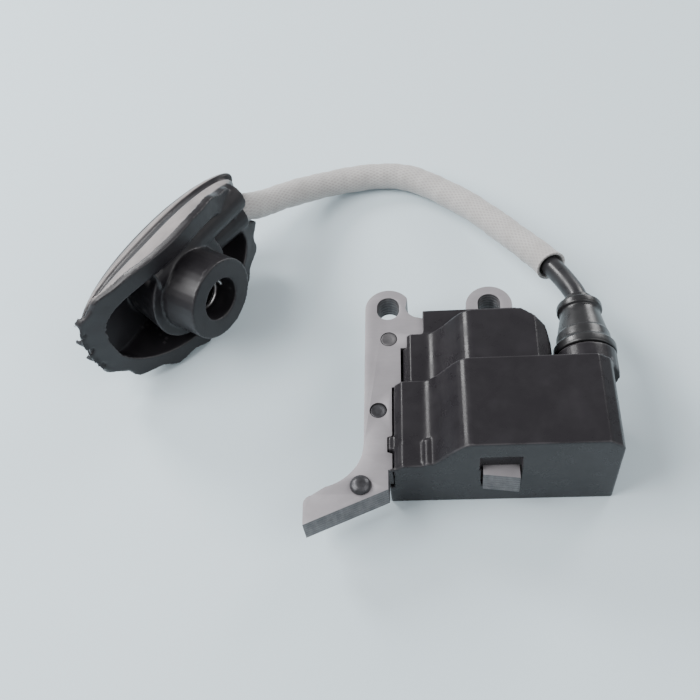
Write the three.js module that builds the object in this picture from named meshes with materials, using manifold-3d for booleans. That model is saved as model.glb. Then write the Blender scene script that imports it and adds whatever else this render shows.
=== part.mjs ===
// Flywheel ignition coil: laminated core, potted coil housing, high tension lead and plug cap.
// Millimetres, +Z up. The module lies on the potted back of its housing with the pole faces toward -Y.
import * as THREE from 'three';
import * as BufferGeometryUtils from 'three/addons/utils/BufferGeometryUtils.js';
import Module from 'manifold-3d';

const wasm = await Module();
wasm.setup();

// ---------------------------------------------------------------- driving dimensions
const GAP = 0.3; // clearance between neighbouring pieces
const SEGMENTS = 32; // facets round a full circle
const SLIVER = 0.01; // edges shorter than this are merged away after the booleans
const DATUM = { x: 22.35, y: 22.9 }; // plan centre of the module, moved onto the origin

const CORE = {
  back: 7.8, // underside of the stack above the housing's back
  sheets: 7,
  sheet: 0.742, // one lamination
  earY: 48.15, // centre line of the mounting slots
  earLeft: 5.6,
  earRight: 29.95,
  earRadius: 5.55,
  slotRadius: 2.7, // M5 clearance
  slotHalf: 0.55, // half the straight part of a slot
  yokeLow: 36.5,
  yokeHigh: 45.0,
  legInner: 6.4,
  rivetRadius: 1.75,
};
const CORE_TOP = CORE.back + CORE.sheets * CORE.sheet + (CORE.sheets - 1) * GAP;
const POLE = { left: -13.0, low: -7.9, inner: 5.5, rise: 4.6 };
const WOUND = { left: 26.05, right: 33.95, endLeft: 2.95, endRight: 1.95 };

const HOUSING = {
  left: 6.7,
  right: 55.3,
  front: 26.4, // full depth of the potted body
  low: 17.4, // depth over the left leg
  bottom: 3.9,
  step: 25.7, // end of the thick body
  top: 39.6, // end of the thinner upper section
  skirtTop: 46.4, // end of the yoke cover
  inset: 1.2, // how far the upper section stands inside the thick body
  upperLeft: 8.85,
  upperRight: 42.6,
  upperRoom: 39.4, // right-hand wall of the hollow inside the upper section
  wall: 1.6,
};
const POTTING = { under: 0.6, face: 2.9 };
const TOWER = { x: 50.6, z: 17.5, radius: 6.9, end: 30.2, stub: 4.4, stubEnd: 35.6 };

const LEAD = { radius: 2.5, bore: 1.1, start: 31.2, straight: 46.8, steps: 44 };
const SLEEVE = { outer: 3.7, inner: 2.95 };

const CAP = {
  heading: THREE.MathUtils.degToRad(58.3), // plan direction of the cap's long axis
  tilt: THREE.MathUtils.degToRad(6), // how far the plug bore looks up
  origin: new THREE.Vector3(-34.7, 49.5, 19.7), // centre of the plug bore's mouth
  bossRadius: 10.4,
  boreRadius: 5.4,
  boreDepth: 13.5,
  rimHalfLength: 26.6,
  rimHalfWidth: 17.7,
  backHalfLength: 27.6,
  backHalfWidth: 11.2,
  backDepth: 24.5,
  wall: 2.2,
  flange: 4.6,
  scallops: 19,
  scallopHeight: 0.7,
  peak: 10, // how far the upper back corner at the lead end runs out
  reach: 2.6, // how far the lower rim runs out at the lead end
  shoulder: -9.8, // depth of the boss's base
};

// ---------------------------------------------------------------- solids and booleans
/** Closed surface as a solid that can be joined and cut. */
function solid(geometry) {
  const bare = geometry.clone();
  bare.deleteAttribute('normal');
  bare.deleteAttribute('uv');
  const merged = BufferGeometryUtils.mergeVertices(bare, 1e-4);
  return new wasm.Manifold(
    new wasm.Mesh({
      numProp: 3,
      vertProperties: Float32Array.from(merged.attributes.position.array),
      triVerts: Uint32Array.from(merged.index.array),
    }),
  );
}

/** Surface of a solid, with its slivers merged away. */
function surface(body) {
  const mesh = body.asOriginal().simplify(SLIVER).getMesh();
  const geometry = new THREE.BufferGeometry();
  geometry.setAttribute('position', new THREE.BufferAttribute(mesh.vertProperties, 3));
  geometry.setIndex(new THREE.BufferAttribute(mesh.triVerts, 1));
  geometry.computeVertexNormals();
  return geometry;
}

const union = (bodies) => bodies.reduce((sum, body) => sum.add(body));
const cut = (body, tools) => tools.reduce((rest, tool) => rest.subtract(tool), body);
const filled = (body) => union(body.decompose().filter((shell) => shell.volume() > 0)); // no sealed hollows

function box(x0, x1, y0, y1, z0, z1) {
  const geometry = new THREE.BoxGeometry(x1 - x0, y1 - y0, z1 - z0);
  geometry.translate((x0 + x1) / 2, (y0 + y1) / 2, (z0 + z1) / 2);
  return solid(geometry);
}

function cylinderZ(x, y, radius, z0, z1, segments = SEGMENTS) {
  const geometry = new THREE.CylinderGeometry(radius, radius, z1 - z0, segments);
  geometry.rotateX(Math.PI / 2);
  geometry.translate(x, y, (z0 + z1) / 2);
  return solid(geometry);
}

function cylinderY(x, z, radius, y0, y1, segments = SEGMENTS) {
  const geometry = new THREE.CylinderGeometry(radius, radius, y1 - y0, segments);
  geometry.translate(x, (y0 + y1) / 2, z);
  return solid(geometry);
}

/** Polygon of [x, y] points drawn in plan and raised from z0 to z1. */
function raise(points, z0, z1) {
  const shape = new THREE.Shape(points.map(([x, y]) => new THREE.Vector2(x, y)));
  const geometry = new THREE.ExtrudeGeometry(shape, { depth: z1 - z0, bevelEnabled: false });
  geometry.translate(0, 0, z0);
  return solid(geometry);
}

/** Polygon of [x, z] points seen from the pole side and run from y0 to y1. */
function run(points, y0, y1) {
  const shape = new THREE.Shape(points.map(([x, z]) => new THREE.Vector2(x, z)));
  const geometry = new THREE.ExtrudeGeometry(shape, { depth: y1 - y0, bevelEnabled: false });
  geometry.rotateX(Math.PI / 2);
  geometry.translate(0, y1, 0);
  return solid(geometry);
}

/** Turned piece about a line parallel to Y; profile is [radius, y], starting and ending on the axis. */
function turnedY(profile, x, z, segments = SEGMENTS) {
  const points = profile.map(([radius, y]) => new THREE.Vector2(radius, y));
  const geometry = new THREE.LatheGeometry(points, segments);
  geometry.translate(x, 0, z);
  return solid(geometry);
}

/** Points along an arc, angles in degrees. */
function arc(cx, cy, rx, ry, from, to, count) {
  return Array.from({ length: count + 1 }, (_, i) => {
    const angle = THREE.MathUtils.degToRad(from + ((to - from) * i) / count);
    return [cx + rx * Math.cos(angle), cy + ry * Math.sin(angle)];
  });
}

/** Round section swept along a curve, hollow when an inner radius is given. */
function sweep(curve, radius, steps, inner = 0, sides = 12) {
  const ring = arc(0, 0, radius, radius, 0, 360 - 360 / sides, sides - 1);
  const shape = new THREE.Shape(ring.map(([x, y]) => new THREE.Vector2(x, y)));
  if (inner > 0) {
    const hole = arc(0, 0, inner, inner, 0, 360 - 360 / sides, sides - 1);
    shape.holes.push(new THREE.Path(hole.map(([x, y]) => new THREE.Vector2(x, y))));
  }
  return solid(new THREE.ExtrudeGeometry(shape, { steps, extrudePath: curve, bevelEnabled: false }));
}

// ---------------------------------------------------------------- core
/** Outline of one lamination, counter-clockwise from the pole shoe's lower corner. */
function laminationOutline() {
  const { earY, earLeft, earRight, earRadius } = CORE;
  return [
    [POLE.left + 0.1, POLE.low],
    [POLE.inner, 0],
    [POLE.inner, POLE.rise],
    [CORE.legInner, POLE.rise],
    [CORE.legInner, 8.6],
    [5.3, 9.0],
    [5.3, 12.7],
    [CORE.legInner, 13.1],
    [CORE.legInner, HOUSING.step],
    [8.5, HOUSING.step + 0.2],
    [8.5, CORE.yokeLow],
    [WOUND.left, CORE.yokeLow],
    [WOUND.left, WOUND.endLeft],
    [WOUND.right, WOUND.endRight],
    [WOUND.right, CORE.yokeLow],
    [earRight + earRadius, CORE.yokeLow + 1.4],
    ...arc(earRight, earY, earRadius, earRadius, 0, 180, 14),
    [earRight - earRadius, CORE.yokeHigh],
    [13.6, CORE.yokeHigh],
    ...arc(13.9, 49.3, 4.3, 4.3, 246, 196, 4).slice(1),
    ...arc(earLeft, earY, earRadius, earRadius, 33, 180, 12),
    [0, 11.5],
    ...arc(-11.2, 11.2, 11.2, 10.6, 0, -75, 8).slice(1),
    [-11.3, -1.0],
    ...arc(-11.0, -3.1, 2.0, 2.1, 100, 180, 5),
  ];
}

/** Slot-shaped cutter through the whole stack. */
function slotCutter(x) {
  const { earY, slotRadius, slotHalf, back } = CORE;
  const outline = [
    ...arc(x, earY + slotHalf, slotRadius, slotRadius, 0, 180, 12),
    ...arc(x, earY - slotHalf, slotRadius, slotRadius, 180, 360, 12),
  ];
  return raise(outline, back - 1, CORE_TOP + 1);
}

const RIVETS = { upper: [5.75, 39.2], lower: [3.3, 19.75], domed: [-0.55, 1.05] };

function laminations() {
  const holes = Object.values(RIVETS).map(([x, y]) => {
    return cylinderZ(x, y, CORE.rivetRadius + GAP, CORE.back - 1, CORE_TOP + 1, 20);
  });
  const cutters = [slotCutter(CORE.earLeft), slotCutter(CORE.earRight), ...holes];
  const outline = laminationOutline();
  return Array.from({ length: CORE.sheets }, (_, i) => {
    const low = CORE.back + i * (CORE.sheet + GAP);
    return cut(raise(outline, low, low + CORE.sheet), cutters);
  });
}

function rivetBody([x, y], below, above) {
  return cylinderZ(x, y, CORE.rivetRadius, CORE.back - below, CORE_TOP + above, 20);
}

/** Rivet with a low dome on the front face and a flat head behind. */
function domedRivet([x, y]) {
  const seat = CORE_TOP + GAP;
  const dome = [[0, seat], [2.35, seat], [2.25, seat + 0.5], [1.7, seat + 1.0], [0, seat + 1.25]];
  const head = new THREE.LatheGeometry(dome.map(([r, h]) => new THREE.Vector2(r, h)), SEGMENTS);
  head.rotateX(Math.PI / 2);
  head.translate(x, y, 0);
  const foot = cylinderZ(x, y, 2.3, CORE.back - 1.1, CORE.back - GAP, 24);
  return union([rivetBody([x, y], 0.5, 0.6), solid(head), foot]);
}

// ---------------------------------------------------------------- housing
/** Front profile of the housing: low over the leg, an S-shaped rise, then the flat face. */
function frontProfile(left, right, low, front, shift) {
  const rise = front - low;
  const bend = Array.from({ length: 13 }, (_, i) => {
    const t = i / 12;
    return [13.2 + shift + 10.6 * t, low + rise * (0.5 - 0.5 * Math.cos(Math.PI * t))];
  });
  return [
    [left, 0],
    [right, 0],
    [right, front - 3.6],
    [right - 0.7, front - 2.0],
    [right - 3.4, front],
    ...bend.reverse(),
    [left + 2.0, low],
    [left + 0.3, low - 1.6],
    [left, low - 3],
  ];
}

/** Everything of the stack that passes through the housing, grown by the clearance. */
function stackTunnel() {
  const z0 = CORE.back - GAP;
  const z1 = CORE_TOP + GAP;
  const earSide = CORE.earRadius + GAP;
  return [
    box(-20, CORE.legInner + GAP, -10, HOUSING.step, z0, z1),
    box(-20, HOUSING.upperLeft, HOUSING.step - 1, 60, z0, z1),
    box(-20, 36.0, CORE.yokeLow - GAP, CORE.yokeHigh + GAP, z0, z1),
    box(WOUND.left - GAP, WOUND.right + GAP, -10, 40, z0, z1),
    box(CORE.earRight - earSide, CORE.earRight + earSide, CORE.yokeLow, 60, z0, z1),
  ];
}

function housing() {
  const h = HOUSING;
  const thick = run(frontProfile(h.left, h.right, h.low, h.front, 0), h.bottom, h.step);
  const foot = box(5.8, h.left + 1, h.bottom, h.bottom + 0.6, 0, 15.9);
  const upper = run(
    frontProfile(h.upperLeft, h.upperRight, h.low - h.inset, h.front - h.inset, h.inset),
    h.step - 1,
    h.top,
  );
  const chamfer = [[34.9, h.top + 1], [60, h.top + 1], [60, 20], [43.2, 29], [41.6, 35.6], [40.3, 36.7]];
  const corner = raise(chamfer, -1, 30);
  const skirt = box(13.9, 36.3, h.top - 1, h.skirtTop, CORE.back, 15.9);
  const neck = cylinderY(TOWER.x, TOWER.z, TOWER.radius, h.step - 1, TOWER.end);
  const stub = cylinderY(TOWER.x, TOWER.z, TOWER.stub, h.step, TOWER.stubEnd);
  const ledge = box(5.4, h.left + 1, h.bottom, h.step, 0, CORE.back - GAP); // under the leg's inner edge
  const upperLedge = box(7.9, h.upperLeft + 1, h.step - 1, h.top, 0, CORE.back - GAP);
  const tab = box(5.6, h.left + 1, 9.2, 12.4, CORE.back + 1, CORE_TOP + 0.9);
  const ridge = cylinderY(14.4, h.low - 0.2, 1.1, h.bottom, 10.2, 16);
  const outside = union([
    thick, foot, upper.subtract(corner), ledge, upperLedge, skirt, neck, stub, ridge,
  ]);

  const w = h.wall;
  const upperFront = h.front - h.inset - w;
  const upperRoom = frontProfile(h.upperLeft + w, h.upperRoom, h.low - h.inset - w, upperFront, 2.4);
  const inside = [
    run(frontProfile(h.left + w, h.right - w, h.low - w, h.front - w, 1.2), h.bottom + w, h.step - w),
    run(upperRoom, h.step - 3, h.top - w),
    box(h.left + w, h.right - w, h.bottom + w, h.step - w, -1, 4),
    box(h.upperLeft + w, h.upperRoom, h.step - 3, h.top - w, -1, 4),
    cylinderY(TOWER.x, TOWER.z, LEAD.radius + GAP, LEAD.start - GAP, TOWER.stubEnd + 1),
    cylinderY(TOWER.x, TOWER.z, 0.8 + GAP, h.step - w - 1, LEAD.start),
    box(25.4, 34.3, h.bottom - 1, h.bottom + 1.0, CORE_TOP, 20.6),
  ];
  return cut(cut(outside, inside), stackTunnel()).add(tab);
}

/** Resin face that closes the open back. */
function potting() {
  const h = HOUSING;
  const edge = h.wall + GAP;
  const { under, face } = POTTING;
  const lower = box(h.left + edge, h.right - edge, h.bottom + edge, h.step - edge, under, face);
  const upper = box(h.upperLeft + edge, h.upperRoom - GAP, h.step - 3, h.top - edge, under, face);
  return lower.add(upper);
}

// ---------------------------------------------------------------- coil and electronics
const CHEEK = 0.9; // thickness of a bobbin's flange
const COIL = { x: 30.0, z: CORE.back + (CORE_TOP - CORE.back) / 2, low: 6.2, high: 34.6 };

/** Rectangular sleeve round the wound leg, given by its half sizes and length. */
function frame(halfX, halfZ, thickness, y0, y1) {
  const { x, z } = COIL;
  const outX = halfX + thickness;
  const outZ = halfZ + thickness;
  const outer = box(x - outX, x + outX, y0, y1, z - outZ, z + outZ);
  return outer.subtract(box(x - halfX, x + halfX, y0 - 1, y1 + 1, z - halfZ, z + halfZ));
}

/** Winding former: a thin sleeve with a flange at each end. */
function bobbin(halfX, halfZ, thickness, flange, y0, y1) {
  return union([
    frame(halfX, halfZ, thickness, y0, y1),
    frame(halfX, halfZ, thickness + flange, y0, y0 + CHEEK),
    frame(halfX, halfZ, thickness + flange, y1 - CHEEK, y1),
  ]);
}

function coilPieces() {
  const { low, high } = COIL;
  const cheek = CHEEK + GAP;
  const inset = 1.5; // the secondary is this much shorter at each end
  const lap = inset + cheek;
  return {
    primary_bobbin: [bobbin(4.25, 3.8, 0.7, 1.4, low, high), 'nylon'],
    primary_winding: [frame(5.25, 4.8, 0.8, low + cheek, high - cheek), 'copper'],
    secondary_bobbin: [bobbin(6.35, 5.9, 0.5, 1.5, low + inset, high - inset), 'nylon'],
    secondary_winding: [frame(7.15, 6.7, 0.9, low + lap, high - lap), 'copper'],
  };
}

const BOARD = { x0: 41.4, x1: 52.6, y0: 6.6, y1: 22.8, z0: 13.0, z1: 14.2 };

/** Small cylinder lying on the board with a wire at each end. */
function axialPart(x, y, radius, length) {
  const z = BOARD.z1 + GAP + radius;
  const wire = cylinderY(x, z, 0.3, y - 1.6, y + length + 1.6, 8);
  return cylinderY(x, z, radius, y, y + length, 16).add(wire);
}

function electronics() {
  const b = BOARD;
  const top = b.z1 + GAP;
  const tab = box(42.3, 47.1, 16.6, 18.2, top, top + 6.4);
  const leaf = box(12.0, 13.2, 28.2, 36.0, 9.2, 12.6);
  const leafFoot = box(12.0, 16.4, 28.2, 29.2, 9.2, 12.6);
  const spike = [[0, 20.0], [1.8, 20.0], [1.8, 22.4], [0.8, 22.6], [0.8, 35.0], [0, 36.6]];
  return {
    trigger_board: [box(b.x0, b.x1, b.y0, b.y1, b.z0, b.z1), 'laminate'],
    switch_transistor: [box(42.3, 47.1, 12.6, 16.9, top, top + 4.4).add(tab), 'epoxy'],
    flyback_diode: [axialPart(49.2, 9.2, 1.0, 4.4), 'epoxy'],
    bias_resistor: [axialPart(51.3, 15.2, 0.9, 4.2), 'ceramic'],
    charge_capacitor: [box(43.0, 51.8, 7.4, 20.4, 4.6, 11.4), 'film'],
    earth_spring: [leaf.add(leafFoot), 'brass'],
    ht_terminal_spike: [turnedY(spike, TOWER.x, TOWER.z, 16), 'brass'],
  };
}

// ---------------------------------------------------------------- lead
const capX = new THREE.Vector3(Math.cos(CAP.heading), Math.sin(CAP.heading), 0);
const capZ = new THREE.Vector3(
  Math.sin(CAP.heading) * Math.cos(CAP.tilt),
  -Math.cos(CAP.heading) * Math.cos(CAP.tilt),
  Math.sin(CAP.tilt),
);
const capY = new THREE.Vector3().crossVectors(capZ, capX);

/** Point of the cap's own frame: u along its length, w across it, a out of the plug bore. */
function capPoint(u, w, a) {
  return CAP.origin.clone().addScaledVector(capX, u).addScaledVector(capY, w).addScaledVector(capZ, a);
}

/** Centre line of the lead, from the terminal in the housing to the contact in the cap. */
function leadPoints() {
  return [
    [TOWER.x, LEAD.start, TOWER.z],
    [TOWER.x, 39, TOWER.z],
    [TOWER.x, LEAD.straight, TOWER.z],
    [48.7, 52.6, 16.6],
    [45.6, 59.4, 14.9],
    [41.4, 66.9, 12.5],
    [36.5, 75.0, 9.8],
    [32.4, 81.1, 8.0],
    [27.3, 87.9, 6.2],
    [22.0, 93.5, 4.9],
    [16.6, 98.2, 4.2],
    [10.1, 101.8, 3.9],
    [3.1, 102.9, 3.8],
    [-3.4, 102.3, 4.0],
    [-9.6, 100.4, 4.9],
    [-16.8, 96.2, 7.3],
    [-23.6, 90.4, 10.8],
    [-28.6, 85.2, 14.0],
  ].map(([x, y, z]) => new THREE.Vector3(x, y, z));
}

const ENTRY = [[27.0, 0.2, -14.6], [20.0, 0.6, -17.6], [12.5, 0.8, -19.0], [6.0, 0.8, -19.2]];
const leadCurve = new THREE.CatmullRomCurve3(
  [...leadPoints(), ...ENTRY.map((p) => capPoint(...p))],
  false,
  'centripetal',
);
leadCurve.arcLengthDivisions = 800;

/** Part of the lead's centre line between two fractions of its length. */
class Stretch extends THREE.Curve {
  constructor(curve, from, to) {
    super();
    Object.assign(this, { curve, from, to });
  }
  getPoint(t, target = new THREE.Vector3()) {
    return this.curve.getPointAt(this.from + (this.to - this.from) * t, target);
  }
}

const LENGTH = leadCurve.getLength();
const along = (millimetres) => millimetres / LENGTH;
const SLEEVE_START = 29.0; // along the centre line from the terminal end
const SLEEVE_END = LENGTH - 19.6;

function leadPieces() {
  const sleeveCurve = new Stretch(leadCurve, along(SLEEVE_START), along(SLEEVE_END));
  const core = new Stretch(leadCurve, along(6.4), along(LENGTH - 0.5));
  return {
    ht_lead_insulation: [sweep(leadCurve, LEAD.radius, LEAD.steps, LEAD.bore + GAP), 'cable'],
    ht_lead_conductor: [sweep(core, LEAD.bore, LEAD.steps, 0, 8), 'copper'],
    lead_sleeve: [sweep(sleeveCurve, SLEEVE.outer, LEAD.steps, SLEEVE.inner), 'fibreglass'],
  };
}

/** Rubber boot over the lead tower. */
function boot() {
  const end = TOWER.end + GAP;
  const outline = [
    [0, end], [7.0, end], [7.1, end + 2.2], [6.3, end + 2.7], [5.7, end + 7.0], [4.7, 42.6],
    [4.9, 43.0], [4.9, 44.4], [3.6, 44.9], [3.3, 46.6], [0, 46.6],
  ];
  const hollow = [
    [0, end - 1], [TOWER.stub + GAP, end - 1], [TOWER.stub + GAP, TOWER.stubEnd + GAP],
    [LEAD.radius + GAP, TOWER.stubEnd + GAP + 1.4], [LEAD.radius + GAP, 48], [0, 48],
  ];
  return turnedY(outline, TOWER.x, TOWER.z).subtract(turnedY(hollow, TOWER.x, TOWER.z, 24));
}

// ---------------------------------------------------------------- plug cap
/** Depth of the cap's rim, which falls away toward both ends. */
function rimDepth(u) {
  return -8 - (u < 2 ? 0.0145 : 0.008) * (u - 2) ** 2;
}

/** Point of a rounded-rectangle ring; bump raises the scalloped edge. */
function capRing(angle, halfLength, halfWidth, power, bump = 0) {
  const c = Math.cos(angle);
  const s = Math.sin(angle);
  const size = (Math.abs(c) ** power + Math.abs(s) ** power) ** (-1 / power);
  const open = 1 - Math.max(0, s) ** 2;
  const grow = 1 + (bump * open * Math.cos(CAP.scallops * angle)) / halfWidth;
  return [halfLength * size * c * grow - 0.6, halfWidth * size * s * grow];
}

/** Runs a point of the back out toward the lead end, most at the upper corner. */
function peaked([u, w]) {
  const toEnd = Math.max(0, u / CAP.backHalfLength);
  const toTop = Math.max(0, w / CAP.backHalfWidth);
  return [u + CAP.peak * toEnd ** 2 * toTop, w];
}

/** Closed skin through rings of points, with a pole at each end. */
function skin(rings, first, last) {
  const count = rings[0].length;
  const positions = [first, ...rings.flat(), last].flatMap((p) => [p.x, p.y, p.z]);
  const at = (ring, i) => 1 + ring * count + (i % count);
  const end = 1 + rings.length * count;
  const faces = [];
  for (let i = 0; i < count; i += 1) {
    faces.push(0, at(0, i + 1), at(0, i));
    faces.push(end, at(rings.length - 1, i), at(rings.length - 1, i + 1));
    for (let r = 0; r + 1 < rings.length; r += 1) {
      faces.push(at(r, i), at(r, i + 1), at(r + 1, i + 1));
      faces.push(at(r, i), at(r + 1, i + 1), at(r + 1, i));
    }
  }
  const geometry = new THREE.BufferGeometry();
  geometry.setAttribute('position', new THREE.Float32BufferAttribute(positions, 3));
  geometry.setIndex(faces);
  return solid(geometry);
}

/** Hood of the cap: a bowed back, ribbed side wall and a scalloped rim. */
function hood() {
  const count = 114;
  const backDepth = (u) => -CAP.backDepth + 0.0058 * u * u;
  const wallRing = (mix, proud) => (angle) => {
    const [ub, wb] = peaked(capRing(angle, CAP.backHalfLength + proud, CAP.backHalfWidth + proud, 4));
    const [ur, wr] = capRing(angle, CAP.rimHalfLength + proud, CAP.rimHalfWidth + proud - 0.8, 2.8);
    const u = ub + (ur - ub) * mix;
    const a = backDepth(ub) + (rimDepth(ur) - backDepth(ub)) * mix;
    return capPoint(u, wb + (wr - wb) * mix, a);
  };
  const backRing = (scale, lift) => (angle) => {
    const [u, w] = peaked(capRing(angle, CAP.backHalfLength * scale, CAP.backHalfWidth * scale, 4));
    return capPoint(u, w, backDepth(u) + lift);
  };
  const rimRing = (inset, drop, bump) => (angle) => {
    const [u, w] = capRing(angle, CAP.rimHalfLength - inset, CAP.rimHalfWidth - inset, 2.8, bump);
    const reach = CAP.reach * Math.max(0, u / CAP.rimHalfLength) ** 2 * Math.min(1, Math.max(0, -w / 6));
    return capPoint(u + reach, w, rimDepth(u) - drop);
  };
  const t = CAP.wall;
  const rings = [
    backRing(0.5, 0),
    backRing(0.92, 0),
    wallRing(0.02, 0),
    wallRing(0.16, 0.2),
    wallRing(0.24, -0.5),
    wallRing(0.36, -0.5),
    wallRing(0.44, 0.3),
    wallRing(0.8, 0.3),
    wallRing(0.86, -0.2),
    rimRing(0, t, CAP.scallopHeight),
    rimRing(0, 0, CAP.scallopHeight),
    rimRing(CAP.flange, 0, 0),
    backRing(0.82, t + 0.6),
    backRing(0.4, t),
  ].map((ring) => {
    return Array.from({ length: count }, (_, i) => ring((2 * Math.PI * i) / count));
  });
  return skin(rings, capPoint(0, 0, -CAP.backDepth), capPoint(0, 0, -CAP.backDepth + t));
}

/** Cylinder or cone along the plug bore between two depths. */
function bossCylinder(radius, a0, a1, segments = 36, foot = radius) {
  const geometry = new THREE.CylinderGeometry(radius, foot, a1 - a0, segments);
  geometry.rotateX(Math.PI / 2);
  geometry.translate(0, 0, (a0 + a1) / 2);
  geometry.applyMatrix4(new THREE.Matrix4().makeBasis(capX, capY, capZ).setPosition(CAP.origin));
  return solid(geometry);
}

function plugCap() {
  const conduit = new THREE.LineCurve3(capPoint(2, 0.7, -18.6), capPoint(25.6, 0.3, -15.2));
  const ridge = new THREE.LineCurve3(capPoint(-8, 9.4, -13.2), capPoint(25.2, 7.0, -13.2));
  const inCap = new Stretch(leadCurve, along(LENGTH - 34), 1);
  const sleeveWay = new Stretch(leadCurve, along(LENGTH - 40), along(SLEEVE_END + GAP));
  const body = union([
    hood(),
    bossCylinder(CAP.bossRadius, -22.4, 0),
    bossCylinder(CAP.bossRadius + 2.8, -22.4, CAP.shoulder, 36, CAP.bossRadius),
    sweep(conduit, 5.2, 2, 0, 20),
    sweep(ridge, 4.2, 2, 0, 20),
  ]);
  return cut(filled(body), [
    bossCylinder(CAP.boreRadius, -CAP.boreDepth, 1, 28),
    bossCylinder(0.6 + GAP, -17, -CAP.boreDepth + 1, 12),
    sweep(inCap, LEAD.radius + GAP, 12, 0, 14),
    sweep(sleeveWay, SLEEVE.outer + GAP, 8, 0, 16),
  ]);
}

/** Coil spring that grips the plug terminal. */
function terminalSpring() {
  const turns = 3.5;
  class Helix extends THREE.Curve {
    getPoint(t) {
      const angle = 2 * Math.PI * turns * t;
      return capPoint(3.9 * Math.cos(angle), 3.9 * Math.sin(angle), -3.2 - 8.6 * t);
    }
  }
  return sweep(new Helix(), 0.55, 64, 0, 8);
}

// ---------------------------------------------------------------- finishes and assembly
const FINISH = {
  steel: ['#a7a2a6', 0.42, 0.9],
  rivet: ['#77747a', 0.5, 0.85],
  darkRivet: ['#4b4a50', 0.55, 0.8],
  shell: ['#3b393d', 0.48, 0],
  resin: ['#24211f', 0.3, 0],
  nylon: ['#d8d2c0', 0.55, 0],
  copper: ['#b5703f', 0.35, 0.9],
  laminate: ['#3f6b43', 0.55, 0],
  epoxy: ['#1c1c1e', 0.5, 0],
  ceramic: ['#c9a878', 0.6, 0],
  film: ['#8f3b2c', 0.4, 0],
  brass: ['#b39a52', 0.35, 0.9],
  spring: ['#8e8f92', 0.35, 0.95],
  rubber: ['#2b2a2e', 0.62, 0],
  cable: ['#232227', 0.5, 0],
  fibreglass: ['#c9c7c5', 0.85, 0],
};

function node(name, body, finish) {
  const [color, roughness, metalness] = FINISH[finish];
  const geometry = surface(body);
  geometry.translate(-DATUM.x, -DATUM.y, 0);
  const mesh = new THREE.Mesh(geometry, new THREE.MeshStandardMaterial({ color, roughness, metalness }));
  mesh.name = name;
  return mesh;
}

function build() {
  const pieces = {
    core_rivet_domed: [domedRivet(RIVETS.domed), 'darkRivet'],
    core_rivet_upper: [rivetBody(RIVETS.upper, 0.6, -0.1), 'rivet'],
    core_rivet_lower: [rivetBody(RIVETS.lower, 0.6, -0.5), 'darkRivet'],
    coil_housing: [housing(), 'shell'],
    epoxy_potting: [potting(), 'resin'],
    ...coilPieces(),
    ...electronics(),
    lead_boot: [boot(), 'rubber'],
    ...leadPieces(),
    plug_cap: [plugCap(), 'rubber'],
    cap_terminal_spring: [terminalSpring(), 'spring'],
    cap_contact_pin: [bossCylinder(0.6, -15.8, -12.6, 10), 'brass'],
  };
  const group = new THREE.Group();
  group.name = 'ignition_coil';
  laminations().forEach((sheet, i) => group.add(node(`core_lamination_${i + 1}`, sheet, 'steel')));
  Object.entries(pieces).forEach(([name, [body, finish]]) => group.add(node(name, body, finish)));
  return group;
}

export default build();
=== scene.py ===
"""Looks of a flywheel ignition coil: riveted core, potted housing, sleeved lead and plug cap.

Lengths in the classes are millimetres in the maker's layout, whose corner is the inner foot of
the left leg on the surface that the housing lies on. placed() turns them into the row frame.
"""

import logging
import math
from dataclasses import dataclass, field
from enum import Enum

import bmesh
import bpy
import numpy as np
from mathutils import Matrix, Vector


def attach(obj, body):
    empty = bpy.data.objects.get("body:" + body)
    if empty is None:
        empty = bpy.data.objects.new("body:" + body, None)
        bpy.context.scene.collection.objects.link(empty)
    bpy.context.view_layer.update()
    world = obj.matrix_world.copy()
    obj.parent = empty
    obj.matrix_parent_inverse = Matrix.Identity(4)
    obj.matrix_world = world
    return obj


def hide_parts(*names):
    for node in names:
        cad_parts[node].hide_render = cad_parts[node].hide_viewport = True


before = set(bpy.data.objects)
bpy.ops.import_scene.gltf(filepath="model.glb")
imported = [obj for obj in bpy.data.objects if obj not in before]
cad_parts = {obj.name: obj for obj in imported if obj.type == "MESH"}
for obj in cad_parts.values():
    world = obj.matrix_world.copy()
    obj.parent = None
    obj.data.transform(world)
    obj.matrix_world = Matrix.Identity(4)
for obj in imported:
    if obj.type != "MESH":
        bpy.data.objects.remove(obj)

logging.basicConfig(level=logging.INFO, format="%(message)s")
LOG = logging.getLogger("ignition_coil")

Point = tuple[float, float, float]
Span = tuple[float, float]

MM = 0.001
PER_METRE = 1000.0  # millimetres in a metre
DATUM = np.array([22.35, 22.9, 0.0])  # plan centre of the module in the maker's layout
BODY = "root"
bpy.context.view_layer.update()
CURVE_SHARE = 0.45  # most of a profile's side that one corner's curve may take


# ---------------------------------------------------------------- surfaces
def placed(points: np.ndarray) -> np.ndarray:
    """Turns layout millimetres into metres in the row frame.

    Args:
        points: an array of points, three numbers each.

    Returns:
        The same points less the datum, in metres.
    """
    return (np.asarray(points, float) - DATUM) * MM


def unit(vectors: np.ndarray) -> np.ndarray:
    """Returns each vector divided by its own length."""
    return vectors / np.linalg.norm(vectors, axis=-1, keepdims=True)


def smoothstep(values: np.ndarray, low: float, high: float) -> np.ndarray:
    """Rises from 0 at low to 1 at high as 3t squared less 2t cubed.

    Args:
        values: where to evaluate it.
        low: the value at which the rise starts.
        high: the value at which it ends.

    Returns:
        An array of shares from 0 to 1.
    """
    share = np.clip((np.asarray(values, float) - low) / (high - low), 0.0, 1.0)
    return share * share * (3.0 - 2.0 * share)


def between(values: np.ndarray, rise: Span, fall: Span) -> np.ndarray:
    """Rises from 0 to 1 across one span and falls back to 0 across the next, by smooth steps.

    Args:
        values: where to evaluate it.
        rise: where the rise starts and ends.
        fall: where the fall starts and ends.

    Returns:
        An array of shares from 0 to 1.
    """
    return smoothstep(values, *rise) * (1.0 - smoothstep(values, *fall))


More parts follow.
